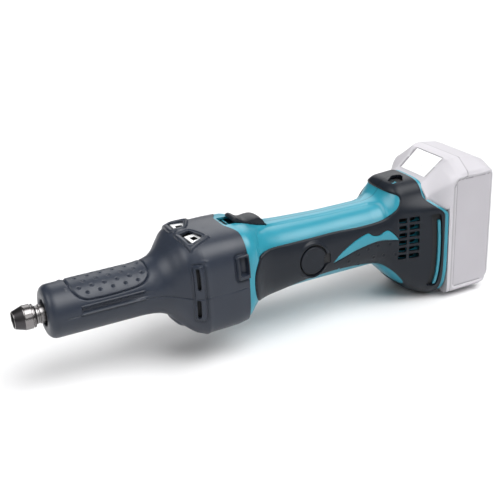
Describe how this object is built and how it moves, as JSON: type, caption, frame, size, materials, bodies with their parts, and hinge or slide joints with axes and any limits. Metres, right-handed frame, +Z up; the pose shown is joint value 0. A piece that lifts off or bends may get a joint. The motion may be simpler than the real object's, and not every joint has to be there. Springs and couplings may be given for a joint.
{
  "type": "die grinder",
  "caption": "Straight cordless die grinder: long slate nose with collet, teal handle with soft grip and slide switch, slide-on battery pack at the rear.",
  "frame": {"origin": "middle of the ground under the tool: bottom centre of its box", "axes": "+Z up; X along the spindle axis, with the collet towards -X and the battery pack towards +X; -Y is the left side"},
  "size_m": [0.402, 0.0794, 0.12],
  "materials": {
    "slate_elastomer": "satin dark slate elastomer, fine moulded texture",
    "teal_plastic": "glossy teal moulded plastic",
    "charcoal_elastomer": "matte charcoal soft grip",
    "black_plastic": "black moulded plastic",
    "pale_plastic": "pale warm grey satin plastic",
    "white_plastic": "near-white plastic",
    "aluminium": "as-cast aluminium with machined bores",
    "dark_steel": "blackened turned steel",
    "bright_steel": "ground steel",
    "copper": "copper bars and enamelled wire",
    "brass": "pressed brass",
    "carbon": "pressed carbon",
    "magnet": "grey ferrite",
    "board_green": "green circuit board",
    "cell_wrap": "shrink sleeve",
    "red_lead": "red insulated wire"
  },
  "bodies": {
    "body": {"front_cover": "slate_elastomer", "left_housing": "teal_plastic", "right_housing": "teal_plastic", "left_grip": "charcoal_elastomer", "right_grip": "charcoal_elastomer", "fan_baffle": "black_plastic", "brush_plate": "black_plastic", "left_brush_cap": "black_plastic", "right_brush_cap": "black_plastic", "switch_unit": "black_plastic", "terminal_block": "black_plastic", "motor_lead": "black_plastic", "bearing_box": "aluminium", "bearing_retainer": "dark_steel", "motor_yoke": "dark_steel", "housing_screw_1": "dark_steel", "housing_screw_2": "dark_steel", "housing_screw_3": "dark_steel", "housing_screw_4": "dark_steel", "front_spindle_bearing_outer_race": "bright_steel", "rear_spindle_bearing_outer_race": "bright_steel", "front_motor_bearing_outer_race": "bright_steel", "rear_motor_bearing_outer_race": "bright_steel", "bearing_spacer": "bright_steel", "left_brush_spring": "bright_steel", "right_brush_spring": "bright_steel", "left_brush_holder": "brass", "right_brush_holder": "brass", "left_carbon_brush": "carbon", "right_carbon_brush": "carbon", "upper_magnet": "magnet", "lower_magnet": "magnet", "controller_board": "board_green", "battery_lead": "red_lead"},
    "rotor": {"spindle": "bright_steel", "coupling_sleeve": "dark_steel", "armature_shaft": "bright_steel", "fan": "black_plastic", "armature_core": "bright_steel", "front_winding": "copper", "rear_winding": "copper", "commutator": "copper", "front_spindle_bearing_inner_race": "bright_steel", "rear_spindle_bearing_inner_race": "bright_steel", "front_motor_bearing_inner_race": "bright_steel", "rear_motor_bearing_inner_race": "bright_steel"},
    "collet": {"collet_cone": "bright_steel"},
    "nut": {"collet_nut": "dark_steel"},
    "switch_slider": {"switch_bar": "black_plastic"},
    "knob": {"switch_knob": "charcoal_elastomer"},
    "left_cap": {"left_cap_cover": "charcoal_elastomer"},
    "right_cap": {"right_cap_cover": "charcoal_elastomer"},
    "battery": {"battery_cover": "pale_plastic", "battery_case": "pale_plastic", "cell_row_1": "cell_wrap", "cell_row_2": "cell_wrap", "battery_board": "board_green"},
    "latch": {"battery_latch": "white_plastic"}
  },
  "joints": [
    {"name": "spindle_spin", "type": "hinge", "parent": "body", "child": "rotor", "pos_m": [-0.141, 0, 0.062], "axis": [1, 0, 0], "continuous": true},
    {"name": "collet_slide", "type": "slide", "parent": "rotor", "child": "collet", "axis": [-1, 0, 0], "range_m": [0, 0.002]},
    {"name": "nut_turn", "type": "hinge", "parent": "collet", "child": "nut", "pos_m": [-0.193, 0, 0.062], "axis": [-1, 0, 0], "range_deg": [0, 720]},
    {"name": "switch_slide", "type": "slide", "parent": "body", "child": "switch_slider", "axis": [-1, 0, 0], "range_m": [0, 0.006], "stiffness_N_per_m": 300},
    {"name": "knob_rock", "type": "hinge", "parent": "switch_slider", "child": "knob", "pos_m": [-0.013, 0, 0.093], "axis": [0, 1, 0], "range_deg": [-2.5, 2.5], "stiffness_Nm_per_rad": 0.4},
    {"name": "left_cap_pull", "type": "slide", "parent": "body", "child": "left_cap", "axis": [0, -1, 0], "range_m": [0, 0.012]},
    {"name": "right_cap_pull", "type": "slide", "parent": "body", "child": "right_cap", "axis": [0, 1, 0], "range_m": [0, 0.012]},
    {"name": "battery_slide", "type": "slide", "parent": "body", "child": "battery", "axis": [0, 0, 1], "range_m": [0, 0.075]},
    {"name": "latch_press", "type": "slide", "parent": "battery", "child": "latch", "axis": [1, 0, 0], "range_m": [0, 0.0045], "stiffness_N_per_m": 500}
  ],
  "couplings": [
    {"joint": "nut_turn", "follows": "collet_slide", "rad_per_m": 6283.2}
  ]
}
